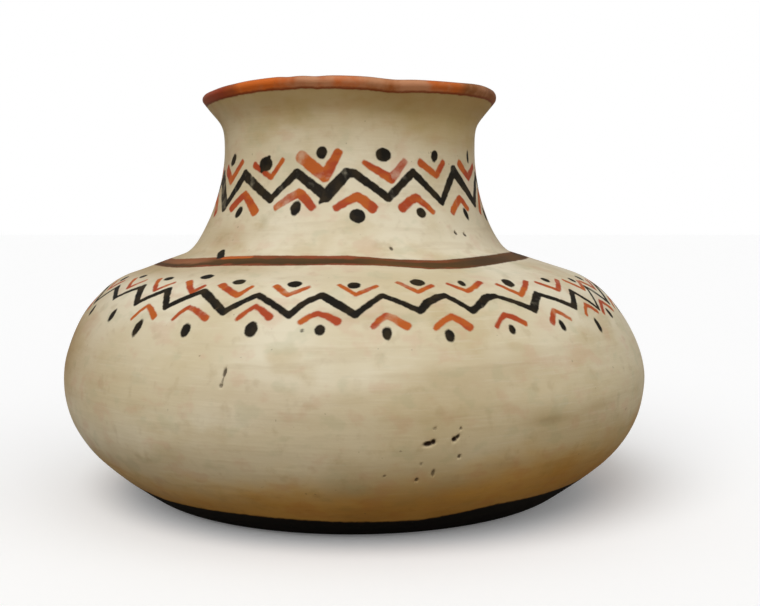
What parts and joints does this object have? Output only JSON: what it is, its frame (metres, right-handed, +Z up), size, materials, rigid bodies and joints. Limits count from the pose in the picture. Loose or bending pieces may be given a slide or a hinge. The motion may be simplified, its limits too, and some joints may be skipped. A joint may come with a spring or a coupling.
{
  "type": "storage jar",
  "caption": "Wide-shouldered coil-built earthenware storage jar with a flared neck, painted zigzag bands on cream slip, a dark painted line round the foot of the neck and an orange-red lip.",
  "frame": {"origin": "centre of the resting face, on the surface that the jar stands on", "axes": "+Z up along the jar's axis, -Y towards the front, where the line round the neck foot has its blot to the left, +X to the right"},
  "size_m": [0.387, 0.3846, 0.2651],
  "materials": {
    "cream_slip": "satin",
    "bare_dark_clay": "matte"
  },
  "bodies": {
    "root": {"base_bowl": "bare_dark_clay", "lower_wall": "cream_slip", "shoulder": "cream_slip", "neck": "cream_slip", "rim": "cream_slip"}
  },
  "joints": []
}
